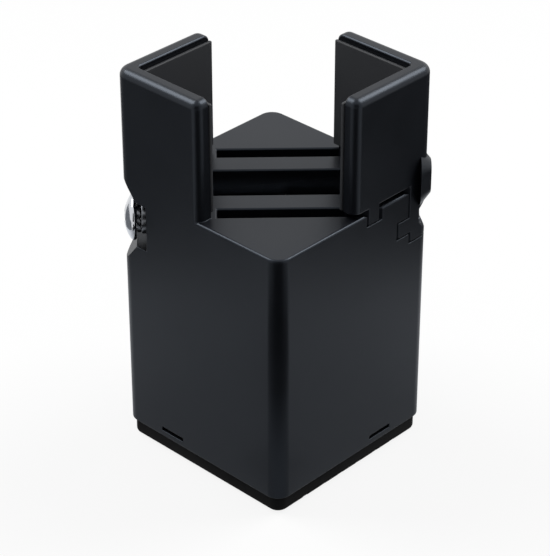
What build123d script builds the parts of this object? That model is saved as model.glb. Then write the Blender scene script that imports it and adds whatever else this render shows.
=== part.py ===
from build123d import *
import os
from math import sqrt

# A screw-clamp riser for the leg of a bed, table or couch. A square moulded housing
# stands on a rubber foot and carries one fixed corner jaw. A second corner jaw slides
# along the diagonal on a runner in a T-shaped channel, drawn in by a long screw whose
# domed head sits in a notch in the fixed jaw's corner.
# Frame: millimetres, Z up, origin on the floor under the middle of the housing, X and Y
# along its sides. The fixed jaw is at the -X -Y corner, the sliding jaw at +X +Y.

# Housing: footprint, heights and walls
body_side = 75.0            # square footprint over the flat faces
body_corner = 5.3           # radius of the upright corners
lift_height = 101.6         # floor to deck, a four inch lift
shell_wall = 3.0            # side walls
deck_wall = 3.5             # plate that the leg stands on
trough_wall = 2.8           # walls round the channel, the guide grooves and the notch
rib_wall = 2.4              # upright ribs inside
edge_round = 1.0            # rounding of the deck's outer edge
lip_break = 0.5             # break of the channel's and grooves' upper edges
lip_angle = 45              # its slope, in degrees

# Channel in the deck: half widths across the diagonal, depths below the deck
neck_half = 7.75            # runner's neck, which passes between the channel's lips
flange_half = 11.75         # runner's flange, held under the lips
keel_half = 7.35            # runner's keel
lip_depth = 9.5             # underside of the lips
flange_floor = 16.4         # ledge that the flange slides on
keel_floor = 20.2           # bottom of the channel
slide_gap = 0.6             # running gap on each side of the runner

# Guide grooves on both sides of the channel, and the tabs that run in them
groove_inner = 17.7         # from the middle of the channel to the groove's near side
groove_width = 5.4
groove_depth = 4.6
tab_width = 3.5
tab_depth = 4.0

# Jaws
jaw_height = 44.0           # above the deck
jaw_reach = 39.0            # length of each wing along the side
jaw_wall = 5.7
jaw_edge = 2.9              # rounding of the rim
jaw_end = 3.0               # rounding of each wing's outer upright end edge
jaw_inner_corner = 1.6
jaw_break = 0.5             # small break of the jaws' other edges
same_place = 0.01           # closer than this, an edge lies on a face
jaw_lift = 1.8              # gap between the deck and the sliding jaw's wall
jaw_travel = 38.5           # slide of the jaw along the diagonal
travel_stop = 1.4           # room left at the end of the channel and the guide grooves

# Anti-slip liners inside the jaws
liner_thickness = 1.3
liner_drop = 2.2            # below the rim
liner_rise = 2.0            # above the deck

# Runner of the sliding jaw
neck_length = 25.0          # measured in from the housing's sharp corner
neck_sink = 0.5             # neck's top below the deck, so that a leg clears it

# Boss and notch on the sliding jaw's corner: depths from the sharp corner, heights from
# the deck
boss_setback = 0.6          # boss's face
notch_depth = 4.4           # notch's floor, where the boss starts
boss_low = -8.7
boss_high = 12.7
boss_half = 8.0
boss_taper = 4.6            # how much the boss narrows all round from root to face
notch_height = 5.5          # flat floor of the notch, under the boss
notch_roof = 1.35           # rise of the notch's upper side for each millimetre outwards
notch_slope = 1.65          # fall of its lower side for each millimetre outwards

# Clamp screw, M6
screw_drop = 12.7           # axis below the deck
screw_diameter = 6.0
tip_show = 0.3              # how far the tip stands out of the open jaw's notch
tip_chamfer = 0.8
head_diameter = 16.4
head_rim = 1.6              # straight edge under the dome
head_dome = 2.7
bearing_gap = 0.08          # radial gap of the screw in the housing
bore_gap = 0.35             # radial gap of the screw in the runner
cross_width = 2.2           # cross recess in the head
cross_span = 8.4
cross_depth = 2.8

# Notch for the screw head in the fixed jaw's corner
seat_depth = 9.5            # flat seat, measured in from the housing's sharp corner
seat_wall = 7.5             # wall between the seat and the channel
pocket_half_height = 8.6
pocket_half_width = 9.8
pocket_straight = 3.5       # length of the straight part, from the seat
flare_slope = 1.8           # widening for each millimetre outwards

# Washers under the head, and the nut in the runner
washer_thickness = 1.6
plain_washer_diameter = 12.0
lock_washer_diameter = 11.1
washer_gap = 0.2            # radial gap of the washers on the screw
stack_gap = 0.05            # axial play of the washers
lock_slit = 1.0
nut_flats = 10.0
nut_turn = 30               # degrees, so that two of its corners point up and down
nut_thickness = 5.2
nut_depth = 9.9             # its inner face, measured in from the notch's floor
nut_gap = 0.05              # round the nut in its pocket
thread_gap = 0.05           # radial gap between screw and nut

# Base: cover snapped into the housing, and the foot under both
foot_thickness = 6.6
foot_inset = 1.25
foot_round = 1.4
tread_width = 2.0
tread_depth = 0.8
tread_pitch = 9.0
tread_count = 6
cover_thickness = 3.6
cover_gap = 0.2             # between the cover and the housing's walls
rim_height = 5.0            # upright rim on the cover, inside the walls
rim_wall = 2.0
clip_width = 10.5           # windows low in the housing's walls, and the tongues in them
clip_height = 1.6
clip_offset = 14.0          # from the middle of each side, towards the jaws' corners
clip_bottom = 2.1           # band of wall under each window
clip_reach = 1.2            # depth of the tongues behind the outer face
clip_gap = 0.15

# Places that follow from the sizes above
half = body_side / 2
sharp_corner = half * sqrt(2)
round_corner = sharp_corner - body_corner * (sqrt(2) - 1)
inner_side = body_side - 2 * shell_wall
seat = -(sharp_corner - seat_depth)
channel_end = seat + seat_wall
runner_start = channel_end + travel_stop + jaw_travel
groove_outer = groove_inner + groove_width
tab_outer = groove_outer - slide_gap
tab_start = (half - jaw_reach) * sqrt(2) + tab_outer
groove_end = tab_start - jaw_travel - travel_stop
boss_face = sharp_corner - boss_setback
boss_root = sharp_corner - notch_depth
screw_tip = boss_root + tip_show
nut_place = boss_root - nut_depth
cover_top = foot_thickness + cover_thickness
window_bottom = foot_thickness + clip_bottom
trough_half = flange_half + slide_gap + trough_wall
screw_radius = screw_diameter / 2
head_radius = head_diameter / 2
plain_place = seat - washer_thickness - stack_gap
lock_place = plain_place - washer_thickness - stack_gap
head_place = lock_place - stack_gap
rim_place = head_place - head_rim
axis_height = lift_height - screw_drop
# The clamp's own directions: along the diagonal, and across it
along = (1, 1, 0)
across = (-1, 1, 0)


def section(distance):
    """Plane square to the screw: X across it, Y up from it, at a distance along the diagonal."""
    return Plane(origin=(0, 0, axis_height), x_dir=across, z_dir=along).offset(distance)


def plan(height):
    """Level plane with X along the diagonal and Y across it."""
    return Plane(origin=(0, 0, height), x_dir=along, z_dir=(0, 0, 1))


def turned(height):
    """Level plane turned half round, which puts a jaw's outline at the sliding corner."""
    return Plane(origin=(0, 0, height), x_dir=(-1, 0, 0), z_dir=(0, 0, 1))


def elevation(height):
    """Upright plane along the diagonal: X along it, Y up from the given height."""
    return Plane(origin=(0, 0, height), x_dir=along, z_dir=(1, -1, 0))


def band(half_width, low, high):
    """Adds a rectangle to the sketch, centred sideways, between two heights."""
    with Locations((0, (low + high) / 2)):
        Rectangle(2 * half_width, high - low)


# Outlines shared by several pieces
with BuildSketch() as housing_outline:
    RectangleRounded(body_side, body_side, body_corner)

with BuildSketch() as jaw_outline:
    add(housing_outline.sketch)
    with Locations((-half + jaw_reach / 2, -half + jaw_reach / 2)):
        Rectangle(jaw_reach, jaw_reach, mode=Mode.INTERSECT)
    with Locations((jaw_wall, jaw_wall)):
        RectangleRounded(body_side, body_side, jaw_inner_corner, mode=Mode.SUBTRACT)
    wing_ends = [
        jaw_outline.vertices().sort_by_distance((-half + jaw_reach, -half, 0))[0],
        jaw_outline.vertices().sort_by_distance((-half, -half + jaw_reach, 0))[0],
    ]
    fillet(wing_ends, jaw_end)

with BuildSketch() as liner_outline:
    liner_span = jaw_reach - jaw_wall
    with Locations((-half + jaw_wall + liner_span / 2, -half + jaw_wall + liner_span / 2)):
        Rectangle(liner_span, liner_span)
    fillet(liner_outline.vertices().sort_by_distance((-half, -half, 0))[0], jaw_inner_corner)
    with Locations((jaw_wall + liner_thickness, jaw_wall + liner_thickness)):
        RectangleRounded(
            body_side, body_side, jaw_inner_corner - liner_thickness, mode=Mode.SUBTRACT
        )

# Hollow of the housing: the space under the deck, less the channel's trough, the guide
# grooves' backs, the block behind the notch and the ribs
with BuildPart() as hollow:
    with BuildSketch(Plane.XY.offset(foot_thickness)):
        RectangleRounded(inner_side, inner_side, body_corner - shell_wall)
    extrude(amount=lift_height - deck_wall - foot_thickness)
    with BuildSketch(section(0)):
        band(trough_half, screw_drop - keel_floor - trough_wall, screw_drop)
    extrude(amount=body_side, both=True, mode=Mode.SUBTRACT)
    with BuildSketch(plan(lift_height)):
        for side in (-1, 1):
            with Locations((0, side * (groove_inner + groove_width / 2))):
                Rectangle(2 * body_side, groove_width + 2 * trough_wall)
    extrude(amount=-groove_depth - trough_wall, mode=Mode.SUBTRACT)
    with BuildSketch(section(channel_end)):
        notch_reach = pocket_half_height + flare_slope * (seat_depth - pocket_straight)
        band(trough_half, -notch_reach - trough_wall, screw_drop)
    extrude(amount=-body_side, mode=Mode.SUBTRACT)
    with BuildSketch(Plane.XY.offset(cover_top)):
        Rectangle(body_side, rib_wall)
        Rectangle(rib_wall, body_side)
    extrude(amount=lift_height, mode=Mode.SUBTRACT)

# Jaw's wall with its rounded rim, used for both jaws
def inner_edge(edge):
    """True for an edge on the leg's side of a jaw standing at the -X -Y corner."""
    middle = edge.center()
    return min(middle.X, middle.Y) > -half + jaw_wall - same_place


with BuildPart() as jaw_shape:
    add(jaw_outline.sketch)
    extrude(amount=jaw_height)
    rim = jaw_shape.faces().sort_by(Axis.Z)[-1].edges()
    fillet(rim.filter_by(lambda edge: not inner_edge(edge)), jaw_edge)
    rim = jaw_shape.faces().sort_by(Axis.Z)[-1].edges()
    chamfer(rim.filter_by(inner_edge), jaw_break)

# The same wall cut off above the deck, for the sliding jaw
with BuildPart() as upper_jaw:
    add(jaw_shape.part)
    split(bisect_by=Plane.XY.offset(jaw_lift), keep=Keep.TOP)
    foot = upper_jaw.faces().sort_by(Axis.Z)[0].edges()
    chamfer(foot.filter_by(lambda edge: not inner_edge(edge)), jaw_break)

# Housing with the fixed jaw
with BuildPart() as housing:
    with BuildSketch(Plane.XY.offset(foot_thickness)):
        add(housing_outline.sketch)
    extrude(amount=lift_height - foot_thickness)
    fillet(housing.faces().sort_by(Axis.Z)[-1].edges(), edge_round)
    with BuildSketch(Plane.XY.offset(lift_height - edge_round)):
        add(jaw_outline.sketch)
    extrude(amount=edge_round + jaw_height / 2)
    with Locations((0, 0, lift_height)):
        add(jaw_shape.part)
    add(hollow.part, mode=Mode.SUBTRACT)
    # Channel, from the wall behind the screw's seat out through the sliding corner
    with BuildSketch(section(channel_end)):
        band(neck_half + slide_gap, screw_drop - lip_depth, screw_drop)
        band(flange_half + slide_gap, screw_drop - flange_floor, screw_drop - lip_depth)
        band(keel_half + slide_gap, screw_drop - keel_floor, screw_drop - flange_floor)
    extrude(amount=body_side * 2, mode=Mode.SUBTRACT)
    # Guide grooves
    with BuildSketch(plan(lift_height)):
        for side in (-1, 1):
            with Locations((groove_end + body_side / 2, side * (groove_inner + groove_width / 2))):
                Rectangle(body_side, groove_width)
    extrude(amount=-groove_depth, mode=Mode.SUBTRACT)
    # Breaks along the upper edges of all three
    with BuildSketch(plan(lift_height)):
        with Locations((channel_end + body_side, 0)):
            Rectangle(2 * body_side, 2 * (neck_half + slide_gap + lip_break))
        for side in (-1, 1):
            with Locations(
                (groove_end - lip_break + body_side / 2, side * (groove_inner + groove_width / 2))
            ):
                Rectangle(body_side, groove_width + 2 * lip_break)
    extrude(amount=-lip_break, taper=lip_angle, mode=Mode.SUBTRACT)
    # Notch for the screw head: a straight pocket that flares towards the corner
    with BuildSketch(elevation(axis_height)):
        with BuildLine():
            straight = seat - pocket_straight
            outside = -body_side
            flared = pocket_half_height + flare_slope * (straight - outside)
            Polyline(
                (seat, pocket_half_height),
                (straight, pocket_half_height),
                (outside, flared),
                (outside, -flared),
                (straight, -pocket_half_height),
                (seat, -pocket_half_height),
                close=True,
            )
        make_face()
    extrude(amount=pocket_half_width, both=True, mode=Mode.SUBTRACT)
    # Bearing hole for the screw
    with BuildSketch(section(seat)):
        Circle(screw_radius + bearing_gap)
    extrude(amount=channel_end - seat, mode=Mode.SUBTRACT)
    # Windows for the cover's tongues
    window_middle = window_bottom + clip_height / 2
    with Locations((-clip_offset, -half, window_middle), (clip_offset, half, window_middle)):
        Box(clip_width, 3 * shell_wall, clip_height, mode=Mode.SUBTRACT)
    with Locations((-half, -clip_offset, window_middle), (half, clip_offset, window_middle)):
        Box(3 * shell_wall, clip_width, clip_height, mode=Mode.SUBTRACT)
housing.part.label = "housing"


# Sliding jaw: wall, tabs, runner, boss and the nut's pocket in one moulding
with BuildPart() as sliding_jaw:
    # Runner, trimmed to the housing's outline at the corner
    with BuildSketch(section(runner_start)):
        band(flange_half, screw_drop - flange_floor + slide_gap, screw_drop - lip_depth - slide_gap)
        band(keel_half, screw_drop - keel_floor + slide_gap, screw_drop - lip_depth - slide_gap)
    extrude(amount=body_side)
    with BuildSketch(section(sharp_corner - neck_length)):
        band(neck_half, screw_drop - flange_floor + slide_gap, screw_drop - neck_sink)
    extrude(amount=body_side)
    with BuildSketch(Plane.XY.offset(lift_height - keel_floor)):
        add(housing_outline.sketch)
    extrude(amount=keel_floor, mode=Mode.INTERSECT)
    # Neck's top and the tabs, both under the wall only
    with BuildSketch(turned(lift_height - tab_depth)):
        with Locations(Rotation(0, 0, 45)):
            for side in (-1, 1):
                with Locations((0, side * (tab_outer - tab_width / 2))):
                    Rectangle(2 * body_side, tab_width)
        add(jaw_outline.sketch, mode=Mode.INTERSECT)
    extrude(amount=tab_depth + jaw_lift + jaw_edge)
    with BuildSketch(turned(lift_height - 2 * neck_sink)):
        with Locations(Rotation(0, 0, 45)):
            Rectangle(2 * body_side, 2 * neck_half)
        add(jaw_outline.sketch, mode=Mode.INTERSECT)
    extrude(amount=2 * neck_sink + jaw_lift + jaw_edge)
    # Wall
    with Locations(turned(lift_height).location):
        add(upper_jaw.part)
    # Boss at the corner, narrowing outwards
    boss_middle = screw_drop + (boss_low + boss_high) / 2
    with BuildSketch(section(boss_root)):
        with Locations((0, boss_middle)):
            SlotOverall(boss_high - boss_low, 2 * boss_half, rotation=90)
    with BuildSketch(section(boss_face)):
        with Locations((0, boss_middle)):
            SlotOverall(boss_high - boss_low - 2 * boss_taper, 2 * (boss_half - boss_taper), rotation=90)
    loft()
    # Notch under the boss
    with BuildSketch(elevation(lift_height)):
        with BuildLine():
            floor_low = boss_low - notch_height
            Polyline(
                (boss_root, boss_low),
                (body_side, boss_low + notch_roof * (body_side - boss_root)),
                (body_side, floor_low - notch_slope * (body_side - boss_root)),
                (boss_root, floor_low),
                close=True,
            )
        make_face()
    extrude(amount=body_side, both=True, mode=Mode.SUBTRACT)
    # Passage for the screw, and the nut's pocket, open downwards
    with BuildSketch(section(0)):
        Circle(screw_radius + bore_gap)
    extrude(amount=body_side, mode=Mode.SUBTRACT)
    with BuildSketch(section(nut_place - nut_gap)):
        RegularPolygon(nut_flats / 2 + nut_gap, 6, major_radius=False, rotation=nut_turn)
        band(nut_flats / 2 + nut_gap, -keel_floor, 0)
    extrude(amount=nut_thickness + 2 * nut_gap, mode=Mode.SUBTRACT)
sliding_jaw.part.label = "sliding_jaw"

# Liners
liner_height = jaw_height - liner_drop - liner_rise

with BuildPart() as fixed_liner:
    with BuildSketch(Plane.XY.offset(lift_height + liner_rise)):
        add(liner_outline.sketch)
    extrude(amount=liner_height)
fixed_liner.part.label = "fixed_liner"

with BuildPart() as sliding_liner:
    with BuildSketch(turned(lift_height + liner_rise)):
        add(liner_outline.sketch)
    extrude(amount=liner_height)
sliding_liner.part.label = "sliding_liner"

# Clamp screw, turned about its axis, with a cross recess in the domed head
with BuildPart() as clamp_screw:
    with BuildSketch(elevation(axis_height)):
        with BuildLine():
            apex = (rim_place - head_dome, 0)
            shoulder = (rim_place, head_radius)
            RadiusArc(apex, shoulder, (head_radius**2 + head_dome**2) / (2 * head_dome))
            Polyline(
                shoulder,
                (head_place, head_radius),
                (head_place, screw_radius),
                (screw_tip - tip_chamfer, screw_radius),
                (screw_tip, screw_radius - tip_chamfer),
                (screw_tip, 0),
                apex,
            )
        make_face()
    revolve(axis=Axis((0, 0, axis_height), along))
    with BuildSketch(section(rim_place - head_dome)):
        Rectangle(cross_span, cross_width)
        Rectangle(cross_width, cross_span)
    extrude(amount=cross_depth, mode=Mode.SUBTRACT)
clamp_screw.part.label = "clamp_screw"

# Washers between the head and the seat
with BuildPart() as lock_washer:
    with BuildSketch(section(lock_place)):
        Circle(lock_washer_diameter / 2)
        Circle(screw_radius + washer_gap, mode=Mode.SUBTRACT)
        with Locations((0, lock_washer_diameter / 2)):
            Rectangle(lock_slit, lock_washer_diameter / 2, mode=Mode.SUBTRACT)
    extrude(amount=washer_thickness)
lock_washer.part.label = "lock_washer"

with BuildPart() as plain_washer:
    with BuildSketch(section(plain_place)):
        Circle(plain_washer_diameter / 2)
        Circle(screw_radius + washer_gap, mode=Mode.SUBTRACT)
    extrude(amount=washer_thickness)
plain_washer.part.label = "plain_washer"

# Nut held in the runner
with BuildPart() as runner_nut:
    with BuildSketch(section(nut_place)):
        RegularPolygon(nut_flats / 2, 6, major_radius=False, rotation=nut_turn)
        Circle(screw_radius + thread_gap, mode=Mode.SUBTRACT)
    extrude(amount=nut_thickness)
runner_nut.part.label = "runner_nut"

# Base cover: a plate with an upright rim, notched for the ribs, and four tongues
with BuildPart() as base_cover:
    cover_side = inner_side - 2 * cover_gap
    cover_corner = body_corner - shell_wall
    with BuildSketch(Plane.XY.offset(foot_thickness)):
        RectangleRounded(cover_side, cover_side, cover_corner)
    extrude(amount=cover_thickness)
    with BuildSketch(Plane.XY.offset(cover_top)):
        RectangleRounded(cover_side, cover_side, cover_corner)
        RectangleRounded(
            cover_side - 2 * rim_wall, cover_side - 2 * rim_wall, rim_wall / 2, mode=Mode.SUBTRACT
        )
        Rectangle(body_side, rib_wall + 2 * cover_gap, mode=Mode.SUBTRACT)
        Rectangle(rib_wall + 2 * cover_gap, body_side, mode=Mode.SUBTRACT)
    extrude(amount=rim_height)
    tongue_reach = half - clip_reach - cover_side / 2 + rim_wall
    tongue_middle = half - clip_reach - tongue_reach / 2
    tongue_width = clip_width - 2 * clip_gap
    tongue_height = clip_height - 2 * clip_gap
    with Locations(
        (-clip_offset, -tongue_middle, window_middle), (clip_offset, tongue_middle, window_middle)
    ):
        Box(tongue_width, tongue_reach, tongue_height)
    with Locations(
        (-tongue_middle, -clip_offset, window_middle), (tongue_middle, clip_offset, window_middle)
    ):
        Box(tongue_reach, tongue_width, tongue_height)
base_cover.part.label = "base_cover"

# Foot under the housing and the cover, with a tread of shallow grooves
with BuildPart() as foot_pad:
    foot_side = body_side - 2 * foot_inset
    with BuildSketch():
        RectangleRounded(foot_side, foot_side, body_corner - foot_inset)
    extrude(amount=foot_thickness)
    fillet(foot_pad.faces().sort_by(Axis.Z)[0].edges(), foot_round)
    with BuildSketch():
        with GridLocations(0, tread_pitch, 1, tread_count):
            Rectangle(body_side, tread_width)
    extrude(amount=tread_depth, mode=Mode.SUBTRACT)
foot_pad.part.label = "foot_pad"

os.makedirs("parts", exist_ok=True)
for piece in (
    housing,
    sliding_jaw,
    fixed_liner,
    sliding_liner,
    clamp_screw,
    lock_washer,
    plain_washer,
    runner_nut,
    base_cover,
    foot_pad,
):
    export_step(piece.part, f"parts/{piece.part.label}.step")
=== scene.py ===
from math import cos, floor, pi, radians, sin, sqrt, tan

import bmesh
import bpy
from mathutils import Matrix, Vector


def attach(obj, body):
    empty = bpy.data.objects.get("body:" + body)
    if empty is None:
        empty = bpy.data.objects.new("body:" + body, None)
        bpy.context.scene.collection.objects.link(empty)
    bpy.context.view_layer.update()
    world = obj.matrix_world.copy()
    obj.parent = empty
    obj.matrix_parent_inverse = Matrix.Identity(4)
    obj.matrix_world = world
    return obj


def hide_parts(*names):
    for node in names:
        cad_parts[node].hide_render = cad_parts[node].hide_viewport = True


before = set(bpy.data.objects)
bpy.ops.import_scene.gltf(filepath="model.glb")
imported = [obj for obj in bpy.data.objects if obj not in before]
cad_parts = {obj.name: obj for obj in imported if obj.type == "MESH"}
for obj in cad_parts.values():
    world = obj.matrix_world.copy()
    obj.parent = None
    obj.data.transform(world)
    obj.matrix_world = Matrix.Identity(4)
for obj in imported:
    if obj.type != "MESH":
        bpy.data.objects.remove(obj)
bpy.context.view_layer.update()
scene = bpy.context.scene
mm = 0.001


# The housing is one black ABS moulding: a hollow square body with the deck, the T-shaped
# channel, the two guide grooves and the fixed jaw. It comes out of a spark-eroded mould, so
# its surface is satin, and every edge keeps a small moulded radius that catches the light.
moulded_edge = 0.22 * mm
edge_steps = 3
weld_distance = 0.002 * mm
flat_angle = radians(1)
sharp_angle = radians(32)
flat_weight = 100
# The grain of such a mould is usually under 0.1 mm, too fine to show, so it is drawn coarser
grain_size = 0.45 * mm
pit_depth = 0.02 * mm
# Tone and shine drift over a centimetre or so, as the flow of the melt leaves them
mottle_size = 14 * mm
# The noise that draws this mottle lies mostly between these two values
mottle_low = 0.3
mottle_high = 0.7


def soften(piece, radius):
    """Rounds a solid's sharp edges by a small radius and shades its curves smoothly."""
    weld = piece.modifiers.new("join corners", "WELD")
    weld.merge_threshold = weld_distance
    flat = piece.modifiers.new("one face a side", "DECIMATE")
    flat.decimate_type = "DISSOLVE"
    flat.angle_limit = flat_angle
    edge = piece.modifiers.new("moulded edges", "BEVEL")
    edge.width = radius
    edge.segments = edge_steps
    edge.limit_method = "ANGLE"
    edge.angle_limit = sharp_angle
    edge.use_clamp_overlap = False
    again = piece.modifiers.new("join doubled corners", "WELD")
    again.merge_threshold = weld_distance
    even = piece.modifiers.new("flat faces stay flat", "WEIGHTED_NORMAL")
    even.weight = flat_weight
    for face in piece.data.polygons:
        face.use_smooth = True


def shade(hex_colour):
    """A colour written as sRGB hex, turned to linear for a shader's socket."""
    channels = [int(hex_colour[i:i + 2], 16) / 255 for i in (1, 3, 5)]
    return [c / 12.92 if c <= 0.04045 else ((c + 0.055) / 1.055) ** 2.4 for c in channels] + [1]


def add_node(tree, kind, settings=(), values=(), links=()):
    """Adds a node to a tree, with its settings, its sockets' values and its links."""
    node = tree.nodes.new(kind)
    for name, value in dict(settings).items():
        setattr(node, name, value)
    for name, value in dict(values).items():
        node.inputs[name].default_value = value
    for name, source in dict(links).items():
        tree.links.new(source, node.inputs[name])
    return node


def new_material(name):
    """An empty material with its output, ready for its shader."""
    material = bpy.data.materials.new(name)
    material.use_nodes = True
    tree = material.node_tree
    tree.nodes.clear()
    return material, tree, tree.nodes.new("ShaderNodeOutputMaterial")


def surface(name, dark, light, rough, gloss, grain, grain_depth, mottle, **sockets):
    """A moulded or plated finish: two tones and two roughnesses in a mottle, over a grain."""
    material, tree, output = new_material(name)
    place = add_node(tree, "ShaderNodeTexCoord").outputs["Object"]
    patches = add_node(
        tree, "ShaderNodeTexNoise",
        values={"Scale": 1 / mottle, "Detail": 3.0}, links={"Vector": place},
    )
    # Sockets of the mix node that share a name: 0 is its share, 6 and 7 its colours, 2 its blend
    tone = add_node(
        tree, "ShaderNodeMix", {"data_type": "RGBA"},
        {6: shade(dark), 7: shade(light)}, {0: patches.outputs["Fac"]},
    )
    polish = add_node(
        tree, "ShaderNodeMapRange",
        values={
            "From Min": mottle_low, "From Max": mottle_high, "To Min": gloss, "To Max": rough,
        },
        links={"Value": patches.outputs["Fac"]},
    )
    pits = add_node(
        tree, "ShaderNodeTexNoise",
        values={"Scale": 1 / grain, "Detail": 2.0}, links={"Vector": place},
    )
    relief = add_node(
        tree, "ShaderNodeBump",
        values={"Strength": grain_depth, "Distance": pit_depth},
        links={"Height": pits.outputs["Fac"]},
    )
    body = add_node(
        tree, "ShaderNodeBsdfPrincipled", values=sockets,
        links={
            "Base Color": tone.outputs[2],
            "Roughness": polish.outputs["Result"],
            "Normal": relief.outputs["Normal"],
        },
    )
    tree.links.new(body.outputs["BSDF"], output.inputs["Surface"])
    return material


def dress(piece, material):
    """Gives a solid its finish in place of the plain one."""
    piece.data.materials.clear()
    piece.data.materials.append(material)


# Black ABS from a spark-eroded mould: deep black and satin, with a very fine pitted grain,
# and wide soft highlights that lean a little to blue.
black_abs = surface(
    "spark_textured_abs", "#0A0B0E", "#0C0D11", rough=0.36, gloss=0.31,
    grain=grain_size, grain_depth=0.10, mottle=mottle_size,
    **{"IOR": 1.53, "Specular IOR Level": 0.31, "Specular Tint": shade("#DCEBFF")},
)
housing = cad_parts["housing"]
dress(housing, black_abs)
soften(housing, moulded_edge)


# The sliding jaw is a second moulding of the same ABS: the corner wall, the two tabs in the
# guide grooves, the runner in the channel and the boss at its corner, all in one.
sliding_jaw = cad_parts["sliding_jaw"]
dress(sliding_jaw, black_abs)
soften(sliding_jaw, moulded_edge)


# The base cover snaps into the open bottom of the housing, with a tongue in each window. It
# is moulded in plain black polypropylene, a little greyer and duller than the housing.
polypropylene = surface(
    "moulded_polypropylene", "#0E0F11", "#121315", rough=0.50, gloss=0.42,
    grain=grain_size, grain_depth=0.06, mottle=mottle_size,
    **{"IOR": 1.49, "Specular IOR Level": 0.3},
)
base_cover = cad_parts["base_cover"]
dress(base_cover, polypropylene)
soften(base_cover, moulded_edge)


# The liners are two L-shaped sheets of black rubber, cut and glued inside the jaws so that a
# leg isn't scratched. Calendered sheet is matt, and a shade greyer than the plastic.
sheet_edge = 0.5 * mm
# Calendering leaves a grain of a few tenths of a millimetre, drawn coarser so that it shows
sheet_grain = 0.7 * mm
liner_rubber = surface(
    "calendered_rubber", "#212327", "#292B2F", rough=0.72, gloss=0.62,
    grain=sheet_grain, grain_depth=0.35, mottle=mottle_size, **{"IOR": 1.52},
)
for name in ("fixed_liner", "sliding_liner"):
    dress(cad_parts[name], liner_rubber)
    soften(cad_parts[name], sheet_edge)


# The clamp screw is a long M6 machine screw with a rolled thread and a wide domed head with a
# cross recess, in bright chrome plate. It turns in the housing, and its head sits in the
# notch. Lengths along it are measured from the middle of the housing, towards its tip.
screw_height = 88.9 * mm
thread_pitch = 1.0 * mm
thread_radius = 3.0 * mm
root_radius = 2.39 * mm
screw_tip = 48.933 * mm
tip_radius = 2.2 * mm
head_back = -46.883 * mm
head_apex = -51.183 * mm
head_radius = 8.2 * mm
head_dome = 2.7 * mm
head_rim = 1.6 * mm
rim_break = 0.55 * mm
rim_roll = 1.0 * mm
roll_steps = 7
# How far in from both sides the middle of a rounded corner lies, for a radius of 1
corner_cut = 0.29
recess_half = 1.1 * mm
recess_reach = 4.2 * mm
recess_depth = 2.6 * mm
# The share of its depth that the recess has lost at the ends of the cross
recess_taper = 0.45
recess_wall = 0.4 * mm
fine_step = 0.12 * mm
coarse_step = 0.45 * mm
head_sides = 180
thread_sides = 48
join_distance = 0.0005 * mm
crease_angle = radians(28)
# Polishing leaves slight waves under a millimetre long, and handling leaves patches of haze
chrome_grain = 0.8 * mm
chrome_mottle = 3 * mm

diagonal = sqrt(0.5)
screw_place = Matrix((
    (-diagonal, 0, diagonal, 0),
    (diagonal, 0, diagonal, 0),
    (0, 1, 0, screw_height),
    (0, 0, 0, 1),
))
# One pitch of a metric thread: a narrow flat crest, a flank, a wider root and a flank back
thread_form = ((0, 1), (0.125, 1), (0.4, 0.06), (0.5, 0), (0.6, 0), (0.7, 0.06), (1, 1))


def thread_height(turns):
    """How far up the thread's form a point is, from 0 at the root to 1 at the crest."""
    part = turns - floor(turns)
    for (a, low), (b, high) in zip(thread_form, thread_form[1:]):
        if part <= b:
            return low + (high - low) * (part - a) / (b - a)
    return 1


def ring_faces(build, lower, upper):
    """Joins two rings of as many corners with four-sided faces."""
    count = len(lower)
    for i in range(count):
        j = (i + 1) % count
        build.faces.new((lower[i], lower[j], upper[j], upper[i]))


def thread_surface(build, low, high, sides, radius_at):
    """A right-hand thread from low to high; its rows follow the helix. Gives its end rings."""
    marks = [part for part, height in thread_form[:-1]]
    first = floor(low / thread_pitch) - 1
    last = floor(high / thread_pitch) + 1
    columns = []
    for i in range(sides):
        angle = 2 * pi * i / sides
        column = []
        for turn in range(first, last + 1):
            for mark in marks:
                place = min(max((turn + mark + i / sides) * thread_pitch, low), high)
                if column and place == column[-1].co.z and place in (low, high):
                    column.append(column[-1])
                    continue
                radius = radius_at(place, thread_height(place / thread_pitch - i / sides))
                column.append(build.verts.new((radius * cos(angle), radius * sin(angle), place)))
        columns.append(column)
    rows = len(columns[0])
    for i in range(sides):
        here = columns[i]
        step = 0 if i + 1 < sides else len(marks)
        after = columns[(i + 1) % sides]
        for row in range(rows - 1):
            corners = []
            for corner in (
                here[row], after[min(row + step, rows - 1)],
                after[min(row + step + 1, rows - 1)], here[row + 1],
            ):
                if corner not in corners:
                    corners.append(corner)
            if len(corners) > 2:
                build.faces.new(corners)
    return [column[0] for column in columns], [column[-1] for column in columns]


def add_piece(name, build, material, body, node):
    """Makes a piece of a finished mesh along the screw, in place of a CAD node."""
    bmesh.ops.remove_doubles(build, verts=build.verts, dist=join_distance)
    bmesh.ops.recalc_face_normals(build, faces=build.faces)
    build.transform(screw_place)
    mesh = bpy.data.meshes.new(name)
    build.to_mesh(mesh)
    build.free()
    for face in mesh.polygons:
        face.use_smooth = True
    mesh.set_sharp_from_angle(angle=crease_angle)
    piece = bpy.data.objects.new(name, mesh)
    scene.collection.objects.link(piece)
    mesh.materials.append(material)
    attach(piece, body)
    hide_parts(node)


def circle(build, radius, place, sides):
    """A ring of corners about the screw's axis."""
    angles = [2 * pi * i / sides for i in range(sides)]
    return [build.verts.new((radius * cos(a), radius * sin(a), place)) for a in angles]


build = bmesh.new()
start, tip = thread_surface(
    build, head_back - rim_break, screw_tip, thread_sides,
    lambda place, height: min(
        root_radius + (thread_radius - root_radius) * height, tip_radius + screw_tip - place
    ),
)
build.faces.new(start)
build.faces.new(tip)
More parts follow.
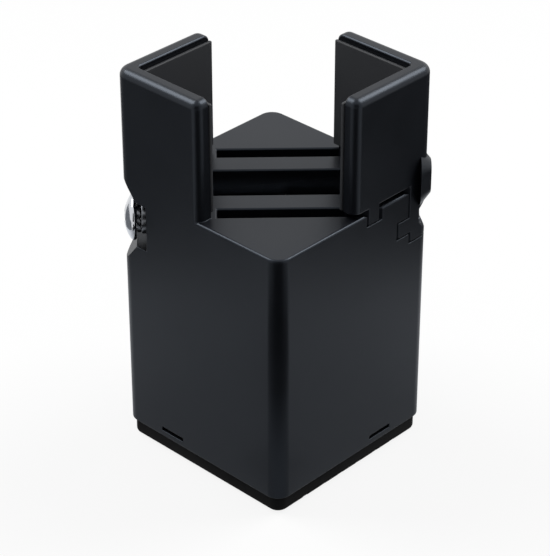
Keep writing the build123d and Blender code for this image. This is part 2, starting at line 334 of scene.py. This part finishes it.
# The head's dome, pressed in along the cross, deepest in the middle
dome_radius = (head_radius ** 2 + head_dome ** 2) / (2 * head_dome)
flat_radius = head_radius - rim_break
spans = []
radius = fine_step
while radius < flat_radius:
    spans.append(radius)
    radius += fine_step if radius < recess_reach + recess_wall else coarse_step
spans.append(flat_radius)
rings = []
for radius in spans:
    ring = []
    for i in range(head_sides):
        angle = 2 * pi * i / head_sides
        x = radius * cos(angle)
        y = radius * sin(angle)
        inside = max(
            min(recess_half - abs(y), recess_reach - abs(x)),
            min(recess_half - abs(x), recess_reach - abs(y)),
        )
        pressed = min(max(inside / recess_wall, 0), 1)
        depth = recess_depth * (1 - recess_taper * radius / recess_reach) * pressed
        rise = dome_radius - sqrt(dome_radius ** 2 - radius ** 2)
        ring.append(build.verts.new((x, y, head_apex + rise + depth)))
    rings.append(ring)
middle = build.verts.new((0, 0, head_apex + recess_depth))
for i in range(head_sides):
    build.faces.new((middle, rings[0][i], rings[0][(i + 1) % head_sides]))
# The rim below the dome, broken above and rolled over to the flat back
rim_place = head_back - head_rim
profile = [
    (head_radius - corner_cut * rim_break, rim_place + corner_cut * rim_break),
    (head_radius, rim_place + rim_break),
]
for i in range(roll_steps + 1):
    angle = pi / 2 * i / roll_steps
    profile.append(
        (head_radius - rim_roll * (1 - cos(angle)), head_back - rim_roll * (1 - sin(angle)))
    )
profile.append((root_radius, head_back))
for radius, place in profile:
    rings.append(circle(build, radius, place, head_sides))
for lower, upper in zip(rings, rings[1:]):
    ring_faces(build, lower, upper)
build.faces.new(rings[-1])
# Bright chrome over polished steel: a mirror, with a faint haze from handling
chrome = surface(
    "bright_chrome_plate", "#C4C7CC", "#D4D6DA", rough=0.16, gloss=0.11,
    grain=chrome_grain, grain_depth=0.02, mottle=chrome_mottle, **{"Metallic": 1.0},
)
add_piece("screw", build, chrome, "screw", "clamp_screw")


# Two washers lie between the head and the seat: a split spring washer, whose ends stand a
# little apart, and a stamped plain washer with one rounded side. Both are zinc plated steel.
lock_place = -46.833 * mm
plain_place = -45.183 * mm
washer_thickness = 1.6 * mm
washer_bore = 3.2 * mm
lock_radius = 5.55 * mm
lock_wire = 1.25 * mm
plain_radius = 6.0 * mm
stamped_round = 0.3 * mm
stamped_cut = 0.09 * mm
burr_break = 0.08 * mm
split_half = radians(6)
split_slant = radians(9)
wire_break = 0.12 * mm
washer_sides = 96
# Tumbling in the plating barrel leaves small dents and duller patches
zinc_grain = 0.5 * mm
zinc_mottle = 2 * mm

# Bright zinc plate: a soft grey shine, darker and less of a mirror than the chrome
zinc = surface(
    "bright_zinc_plate", "#6A6D72", "#808387", rough=0.32, gloss=0.24,
    grain=zinc_grain, grain_depth=0.06, mottle=zinc_mottle, **{"Metallic": 1.0},
)
# The spring washer: its eight-cornered wire goes once round from the split, which faces up
build = bmesh.new()
outline = (
    (washer_bore + wire_break, 0), (lock_radius - wire_break, 0), (lock_radius, wire_break),
    (lock_radius, lock_wire - wire_break), (lock_radius - wire_break, lock_wire),
    (washer_bore + wire_break, lock_wire), (washer_bore, lock_wire - wire_break),
    (washer_bore, wire_break),
)
turns = []
for i in range(washer_sides + 1):
    way = i / washer_sides
    loop = []
    for radius, rise in outline:
        lean = split_slant * (rise / lock_wire - 0.5)
        angle = pi / 2 + split_half + lean + way * 2 * (pi - split_half)
        place = lock_place + rise + (washer_thickness - lock_wire) * way
        loop.append(build.verts.new((radius * cos(angle), radius * sin(angle), place)))
    turns.append(loop)
for lower, upper in zip(turns, turns[1:]):
    ring_faces(build, lower, upper)
build.faces.new(turns[0])
build.faces.new(turns[-1])
add_piece("split_washer", build, zinc, "screw", "lock_washer")

# The plain washer: stamping rounds its edge on one side and leaves it sharp on the other
build = bmesh.new()
plain_back = plain_place + washer_thickness
rings = []
for radius, place in (
    (washer_bore, plain_back - burr_break), (washer_bore + burr_break, plain_back),
    (plain_radius - burr_break, plain_back), (plain_radius, plain_back - burr_break),
    (plain_radius, plain_place + stamped_round),
    (plain_radius - stamped_cut, plain_place + stamped_cut),
    (plain_radius - stamped_round, plain_place),
    (washer_bore + burr_break, plain_place), (washer_bore, plain_place + burr_break),
):
    rings.append(circle(build, radius, place, washer_sides))
for lower, upper in zip(rings, rings[1:] + rings[:1]):
    ring_faces(build, lower, upper)
add_piece("stamped_washer", build, zinc, "base", "plain_washer")


# The nut sits in a pocket of the sliding jaw's runner and draws the jaw along the screw. It
# is a plain hexagon nut of zinc plated steel, chamfered on both faces, tapped and countersunk.
nut_place = 38.733 * mm
nut_thickness = 5.2 * mm
nut_half = 5.0 * mm
nut_face = 4.85 * mm
nut_chamfer = radians(30)
nut_clearance = 0.06 * mm
countersink = 3.35 * mm
nut_sides = 96

nut_top = nut_place + nut_thickness
build = bmesh.new()
lower, upper = thread_surface(
    build, nut_place, nut_top, nut_sides,
    lambda place, height: max(
        root_radius + (thread_radius - root_radius) * height + nut_clearance,
        countersink - min(place - nut_place, nut_top - place),
    ),
)
# Four corners in each direction: where its faces end and where the chamfers meet its sides
edges = []
for i in range(nut_sides):
    angle = 2 * pi * i / nut_sides
    off = angle - pi / 3 * floor(angle / (pi / 3) + 0.5)
    reach = nut_half / cos(off)
    fall = (reach - nut_face) * tan(nut_chamfer)
    edges.append([
        build.verts.new((radius * cos(angle), radius * sin(angle), place))
        for radius, place in (
            (nut_face, nut_place), (reach, nut_place + fall),
            (reach, nut_top - fall), (nut_face, nut_top),
        )
    ])
rings = [lower] + [list(ring) for ring in zip(*edges)] + [upper]
for lower, upper in zip(rings, rings[1:]):
    ring_faces(build, lower, upper)
add_piece("tapped_nut", build, zinc, "jaw", "runner_nut")


# The foot under the housing and its cover is moulded black rubber with a shallow tread. It
# is the dullest and darkest part, and keeps the riser from sliding on a hard floor.
foot_edge = 0.3 * mm
# Moulded rubber has a grain of a few tenths of a millimetre, drawn coarser so that it shows
foot_grain = 0.9 * mm
foot_rubber = surface(
    "moulded_rubber", "#050506", "#080809", rough=0.82, gloss=0.72,
    grain=foot_grain, grain_depth=0.45, mottle=mottle_size,
    **{"IOR": 1.52, "Specular IOR Level": 0.1},
)
foot_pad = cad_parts["foot_pad"]
dress(foot_pad, foot_rubber)
soften(foot_pad, foot_edge)


# The stage is a pale paper floor in a white surround, with a soft box on each side. Pale and
# dark felt cards lie round the object, and a dark flag stands in front. Only reflections show
# them: they grade the walls' sheen, and the gaps between them light the ends of the wings.
floor_size = 4.0
floor_colour = "#E6E6E6"
floor_white = 0.85
surround_light = 0.25
lamp_size = 0.5
lamp_power = 6.0
lamp_distance = 0.9
object_middle = Vector((0, 0, 70 * mm))
card_height = 0.5 * mm
card_inner = 0.04
ring_near = 0.16
ring_far = 0.6
front_start = 0.052
front_near = 0.103
front_middle = 0.212
flag_distance = 1.0
flag_middle = -46
flag_spread = 32
flag_low = 0.12
flag_high = 1.0
arc_steps = 24

scene.view_settings.view_transform = "Standard"


def seen_rays(tree):
    """1 where the camera looks, straight, in a reflection or through glass, and 0 for light."""
    rays = add_node(tree, "ShaderNodeLightPath")
    seen = rays.outputs["Is Camera Ray"]
    for kind in ("Is Glossy Ray", "Is Transmission Ray"):
        seen = add_node(
            tree, "ShaderNodeMath", {"operation": "MAXIMUM"}, links={0: seen, 1: rays.outputs[kind]}
        ).outputs[0]
    return seen


def stage_sheet(name, build, material):
    """Makes a sheet of the stage from its finished mesh."""
    mesh = bpy.data.meshes.new(name)
    build.to_mesh(mesh)
    build.free()
    mesh.materials.append(material)
    sheet = bpy.data.objects.new(name, mesh)
    scene.collection.objects.link(sheet)
    return sheet


# White paper: it keeps the object's shadow, and glows for the camera, so that it comes out white
paper, tree, output = new_material("white_paper")
lit = add_node(tree, "ShaderNodeBsdfDiffuse", values={"Color": shade(floor_colour)})
glow = add_node(tree, "ShaderNodeEmission", values={"Color": shade("#FFFFFF"), "Strength": 1.0})
share = add_node(
    tree, "ShaderNodeMath", {"operation": "MULTIPLY"}, {1: floor_white}, {0: seen_rays(tree)}
)
mix = add_node(
    tree, "ShaderNodeMixShader",
    links={0: share.outputs[0], 1: lit.outputs[0], 2: glow.outputs[0]},
)
tree.links.new(mix.outputs[0], output.inputs["Surface"])
build = bmesh.new()
bmesh.ops.create_grid(build, x_segments=1, y_segments=1, size=floor_size / 2)
floor_sheet = stage_sheet("floor", build, paper)

# The surround is white where the camera sees it, and lights the object only dimly
world = bpy.data.worlds.new("white_surround")
scene.world = world
world.use_nodes = True
tree = world.node_tree
tree.nodes.clear()
output = tree.nodes.new("ShaderNodeOutputWorld")
dim, white = (
    add_node(tree, "ShaderNodeBackground", values={"Color": shade("#FFFFFF"), "Strength": level})
    for level in (surround_light, 1.0)
)
mix = add_node(
    tree, "ShaderNodeMixShader",
    links={0: seen_rays(tree), 1: dim.outputs[0], 2: white.outputs[0]},
)
tree.links.new(mix.outputs[0], output.inputs["Surface"])

# A soft box on each side, high and a little behind the object, by its direction from it
for name, direction in (
    ("left_box", (-0.585, -0.25, 0.77)),
    ("right_box", (0.26, 0.60, 0.75)),
):
    lamp = bpy.data.lights.new(name, "AREA")
    lamp.shape = "SQUARE"
    lamp.size = lamp_size
    lamp.energy = lamp_power
    holder = bpy.data.objects.new(name, lamp)
    scene.collection.objects.link(holder)
    away = Vector(direction).normalized()
    holder.location = object_middle + away * lamp_distance
    holder.rotation_euler = away.to_track_quat("Z", "Y").to_euler()


def felt_card(name, colour, inner, outer):
    """A felt card between two lines of points, which reflections alone show."""
    felt, tree, output = new_material(name)
    cloth = add_node(tree, "ShaderNodeBsdfDiffuse", values={"Color": shade(colour)})
    tree.links.new(cloth.outputs[0], output.inputs["Surface"])
    build = bmesh.new()
    for a, b, c, d in zip(inner, inner[1:], outer[1:], outer):
        build.faces.new([build.verts.new(corner) for corner in (a, b, c, d)])
    card = stage_sheet(name, build, felt)
    card.visible_camera = False
    card.visible_shadow = False
    card.visible_diffuse = False


def arc(radius, first, last, height):
    """Points along a level arc round the object, between two directions in degrees from +X."""
    angles = [radians(first + (last - first) * i / arc_steps) for i in range(arc_steps + 1)]
    return [(radius * cos(angle), radius * sin(angle), height) for angle in angles]


# The card next to the object has a square opening, which the foot stands in
near_edge = [
    (x / max(abs(x), abs(y)) * card_inner, y / max(abs(x), abs(y)) * card_inner, z)
    for x, y, z in arc(1, 0, 360, card_height)
]
felt_card("near_card", "#D6D9DD", near_edge, arc(ring_near, 0, 360, card_height))
# Name, colour, height, inner and outer radius, and first and last direction of each card
for name, colour, height, inner, outer, first, last in (
    ("left_card", "#6A6D71", card_height, ring_near, ring_far, 180, 247),
    ("right_card", "#404245", card_height, ring_near, ring_far, 23, 110),
    ("near_front_card", "#B4B7BB", 2 * card_height, front_start, front_near, -84, -8),
    ("front_card", "#0A0A0B", 2 * card_height, front_near, front_middle, -102, 9),
    ("far_front_card", "#0A0A0B", 2 * card_height, front_middle, ring_far, -74, -18),
):
    felt_card(name, colour, arc(inner, first, last, height), arc(outer, first, last, height))
flag_lines = [
    arc(flag_distance, flag_middle - flag_spread, flag_middle + flag_spread, height)
    for height in (flag_low, flag_high)
]
felt_card("front_flag", "#101010", *flag_lines)

# The camera stands at the photograph's angle, above the front corner, with a long lens in mm
view_azimuth = radians(43.7)
view_elevation = radians(32.1)
view_distance = 0.8054
aim = Vector((0, 0, 63.4 * mm))
towards = Vector((sin(view_azimuth), -cos(view_azimuth), 0))
lens = bpy.data.cameras.new("camera")
lens.lens = 150.9
lens.sensor_width = 36
camera = bpy.data.objects.new("camera", lens)
scene.collection.objects.link(camera)
back = towards * cos(view_elevation) + Vector((0, 0, sin(view_elevation)))
camera.location = aim + back * view_distance
camera.rotation_euler = back.to_track_quat("Z", "Y").to_euler()
scene.camera = camera
